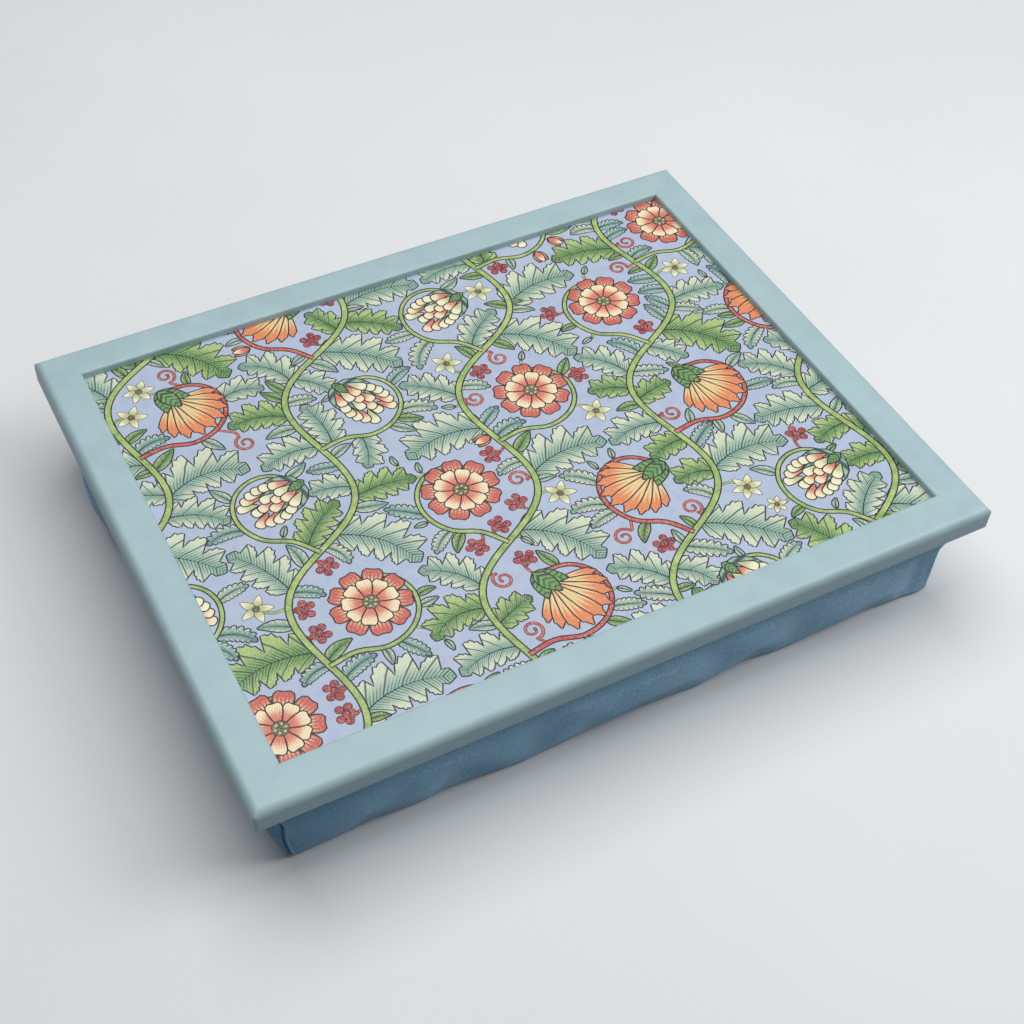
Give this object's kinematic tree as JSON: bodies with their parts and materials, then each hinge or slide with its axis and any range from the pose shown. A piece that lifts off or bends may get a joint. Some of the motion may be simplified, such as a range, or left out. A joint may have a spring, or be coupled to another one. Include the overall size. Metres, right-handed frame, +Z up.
{
  "type": "lap tray with cushion",
  "caption": "Lap tray: a laminate panel in a mitred wooden frame, fixed on a boxed bead-filled cushion with a zip in its back wall.",
  "frame": {"origin": "centre of the cushion's foot, on the surface that the tray stands on", "axes": "+X along the long side to the right, +Y to the back where the zip is, +Z up out of the printed face"},
  "size_m": [0.44, 0.345, 0.075],
  "materials": {
    "painted_wood": "satin",
    "printed_laminate": "satin",
    "plain_laminate": "matte",
    "fibreboard": "matte",
    "hardboard": "matte",
    "faux_suede": "matte",
    "bag_cotton": "matte",
    "foam_beads": "matte",
    "zip_tape": "matte",
    "zip_teeth": "satin",
    "zip_metal": "satin",
    "fastener_steel": "satin"
  },
  "bodies": {
    "tray": {"frame_rail_front": "painted_wood", "frame_rail_back": "painted_wood", "frame_rail_left": "painted_wood", "frame_rail_right": "painted_wood", "corner_v_nails": "fastener_steel", "print_laminate": "printed_laminate", "tray_board": "fibreboard", "backing_laminate": "plain_laminate", "panel_points": "fastener_steel", "cushion_board": "hardboard", "board_screws": "fastener_steel", "cover_staples": "fastener_steel", "cushion_cover": "faux_suede", "rear_cover_strip": "faux_suede", "bead_bag": "bag_cotton", "bead_fill": "foam_beads", "zip_tape_upper": "zip_tape", "zip_tape_lower": "zip_tape", "zip_teeth_upper": "zip_teeth", "zip_teeth_lower": "zip_teeth", "zip_stops": "zip_metal"},
    "slider": {"zip_slider": "zip_metal"},
    "pull": {"zip_pull": "zip_metal"}
  },
  "joints": [
    {"name": "slider_run", "type": "slide", "parent": "tray", "child": "slider", "axis": [-1, 0, 0], "range_m": [0, 0.28]},
    {"name": "pull_swing", "type": "hinge", "parent": "slider", "child": "pull", "pos_m": [0.14, 0.1679, 0.04], "axis": [0, 0, -1], "range_deg": [0, 170]}
  ]
}
